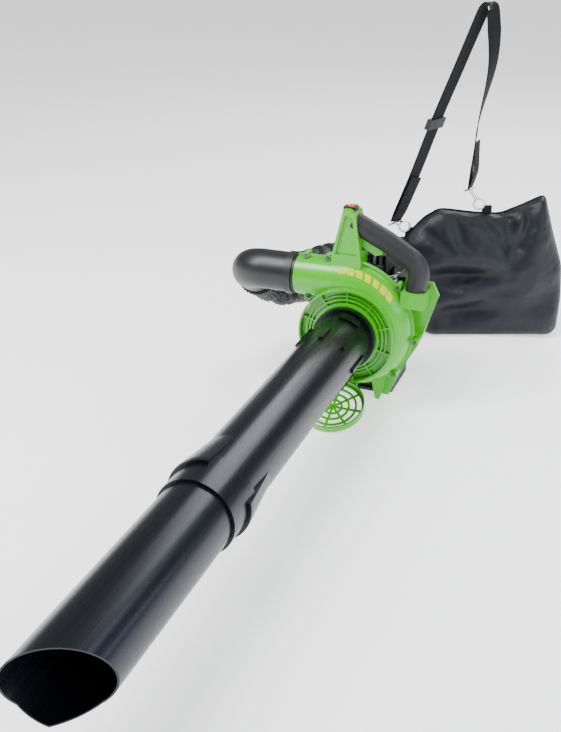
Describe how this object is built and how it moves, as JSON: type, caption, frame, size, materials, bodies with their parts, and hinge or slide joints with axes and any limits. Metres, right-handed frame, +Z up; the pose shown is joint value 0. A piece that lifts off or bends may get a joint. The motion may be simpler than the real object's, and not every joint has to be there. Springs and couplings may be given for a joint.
{
  "type": "leaf blower",
  "caption": "Petrol leaf blower and vacuum with suction tube, round fan scroll, rear engine, elbow, collection bag and shoulder strap.",
  "frame": {"origin": "on the flat underside of the base frame, straight below the fan shaft, at the plane of the fan casing's back face", "axes": "+Z up; -Y along the suction tube from the fan intake to the nozzle; -X from the fan to the outlet elbow; +X to the rear leg of the handle"},
  "size_m": [0.5873, 1.4832, 0.6752],
  "materials": {
    "green_shell": "glossy moulded lime green plastic",
    "black_tube": "satin black extruded plastic",
    "black_plastic": "matt black moulded plastic",
    "elbow_black": "semi-matt black plastic",
    "grip_rubber": "soft-touch grip",
    "bag_cloth": "coated black nylon",
    "webbing": "woven polyester webbing",
    "plated_steel": "bright nickel plate",
    "steel": "machined steel",
    "cast_alloy": "die-cast alloy",
    "muffler_steel": "heat-proof black paint",
    "tank_plastic": "translucent natural polyethylene",
    "tube_rubber": "fuel hose and lead rubber",
    "switch_red": "orange-red moulded plastic"
  },
  "bodies": {
    "machine": {"fan_housing_front": "green_shell", "fan_housing_rear": "green_shell", "screws": "steel", "hinge_pins": "steel", "crankcase": "cast_alloy", "crank_bearings": "steel", "cylinder": "cast_alloy", "ignition_coil": "muffler_steel", "spark_plug": "steel", "plug_lead": "tube_rubber", "muffler": "muffler_steel", "muffler_guard": "steel", "intake_manifold": "black_plastic", "carburettor": "cast_alloy", "air_filter_base": "black_plastic", "air_filter_foam": "tube_rubber", "air_filter_cover": "black_plastic", "fuel_tank": "tank_plastic", "fuel_lines": "tube_rubber", "engine_cover": "black_plastic", "starter_cover": "black_plastic", "starter_spring": "steel", "base_frame": "black_plastic", "handle_bracket": "green_shell", "grip_shell_near": "grip_rubber", "grip_shell_far": "grip_rubber", "stop_switch_body": "black_plastic", "throttle_cable": "steel", "discharge_elbow": "elbow_black", "outlet_clamp_ring": "black_plastic", "collection_bag": "bag_cloth", "bag_cuff": "webbing", "bag_loops": "webbing", "shoulder_strap": "webbing", "strap_slider": "black_plastic", "strap_hooks": "plated_steel"},
    "rotor": {"impeller": "black_plastic", "shredder_blade": "steel", "impeller_nut": "steel", "crankshaft": "steel", "flywheel": "cast_alloy"},
    "piston_group": {"piston": "cast_alloy", "piston_rings_and_pins": "steel", "connecting_rod": "steel"},
    "upper_tube": {"upper_suction_tube": "black_tube"},
    "lower_tube": {"lower_suction_tube": "black_tube"},
    "guard": {"intake_guard": "green_shell"},
    "trigger": {"throttle_trigger": "green_shell"},
    "carb_lever": {"carb_throttle_lever": "cast_alloy"},
    "choke": {"choke_lever": "black_plastic"},
    "primer": {"primer_bulb": "grip_rubber"},
    "filter_knob": {"air_filter_knob": "black_plastic"},
    "tank_cap": {"fuel_cap": "black_plastic"},
    "pulley": {"starter_pulley": "black_plastic"},
    "starter_grip": {"starter_handle": "black_plastic", "starter_rope": "tube_rubber"},
    "rocker": {"stop_switch_rocker": "switch_red"},
    "zip": {"zip_slider": "plated_steel"},
    "gate_left": {"hook_gate_left": "plated_steel"},
    "gate_right": {"hook_gate_right": "plated_steel"}
  },
  "joints": [
    {"name": "fan_spin", "type": "hinge", "parent": "machine", "child": "rotor", "pos_m": [0, 0, 0.14], "axis": [0, -1, 0], "continuous": true},
    {"name": "piston_stroke", "type": "slide", "parent": "machine", "child": "piston_group", "axis": [0, 0, 1], "range_m": [0, 0.028]},
    {"name": "upper_tube_twist", "type": "hinge", "parent": "machine", "child": "upper_tube", "pos_m": [0, -0.08, 0.14], "axis": [0, -1, 0], "range_deg": [0, 28]},
    {"name": "lower_tube_twist", "type": "hinge", "parent": "upper_tube", "child": "lower_tube", "pos_m": [0, -0.67, 0.14], "axis": [0, -1, 0], "range_deg": [0, 45]},
    {"name": "intake_guard_hinge", "type": "hinge", "parent": "machine", "child": "guard", "pos_m": [0, -0.087, 0.062], "axis": [1, 0, 0], "range_deg": [-25, 0]},
    {"name": "throttle_trigger_press", "type": "hinge", "parent": "machine", "child": "trigger", "pos_m": [0.00808, -0.033, 0.32418], "axis": [0, -1, 0], "range_deg": [0, 14], "stiffness_Nm_per_rad": 0.3, "springref_deg": -14.32},
    {"name": "carb_throttle", "type": "hinge", "parent": "machine", "child": "carb_lever", "pos_m": [0.05502, 0.0275, 0.222], "axis": [0, 0, 1], "range_deg": [0, 50.5]},
    {"name": "choke_turn", "type": "hinge", "parent": "machine", "child": "choke", "pos_m": [0.06002, 0.045, 0.202], "axis": [0, 1, 0], "range_deg": [0, 75]},
    {"name": "primer_press", "type": "slide", "parent": "machine", "child": "primer", "axis": [0, 1, 0], "range_m": [0, 0.0025], "stiffness_N_per_m": 600, "springref_m": -0.002},
    {"name": "stop_switch", "type": "hinge", "parent": "machine", "child": "rocker", "pos_m": [-0.0115, -0.033, 0.364], "axis": [0, 1, 0], "range_deg": [-10, 10]},
    {"name": "filter_knob_turn", "type": "hinge", "parent": "machine", "child": "filter_knob", "pos_m": [0.1, 0.049, 0.206], "axis": [1, 0, 0], "range_deg": [0, 180]},
    {"name": "fuel_cap_turn", "type": "hinge", "parent": "machine", "child": "tank_cap", "pos_m": [-0.048, 0.092, 0.09], "axis": [0, 0, 1], "range_deg": [0, 180]},
    {"name": "starter_pull", "type": "slide", "parent": "machine", "child": "starter_grip", "axis": [0, 0, 1], "range_m": [0, 0.6], "stiffness_N_per_m": 12, "springref_m": -0.15},
    {"name": "starter_pulley_turn", "type": "hinge", "parent": "machine", "child": "pulley", "pos_m": [0, 0.083, 0.14], "axis": [0, -1, 0], "range_deg": [0, 1230]},
    {"name": "zip_slide", "type": "slide", "parent": "machine", "child": "zip", "axis": [-0.9272, -0.3746, 0], "range_m": [0, 0.15]},
    {"name": "left_hook_gate", "type": "hinge", "parent": "machine", "child": "gate_left", "pos_m": [0.0101, 0.2956, 0.24954], "axis": [0.3746, -0.9272, 0], "range_deg": [0, 25], "stiffness_Nm_per_rad": 0.01, "springref_deg": -17.19},
    {"name": "right_hook_gate", "type": "hinge", "parent": "machine", "child": "gate_right", "pos_m": [0.15595, 0.35452, 0.29306], "axis": [0.3746, -0.9272, 0], "range_deg": [0, 25], "stiffness_Nm_per_rad": 0.01, "springref_deg": -17.19}
  ],
  "couplings": [
    {"joint": "carb_throttle", "follows": "throttle_trigger_press", "ratio": 3.5714},
    {"joint": "starter_pulley_turn", "follows": "starter_pull", "rad_per_m": 35.714}
  ]
}
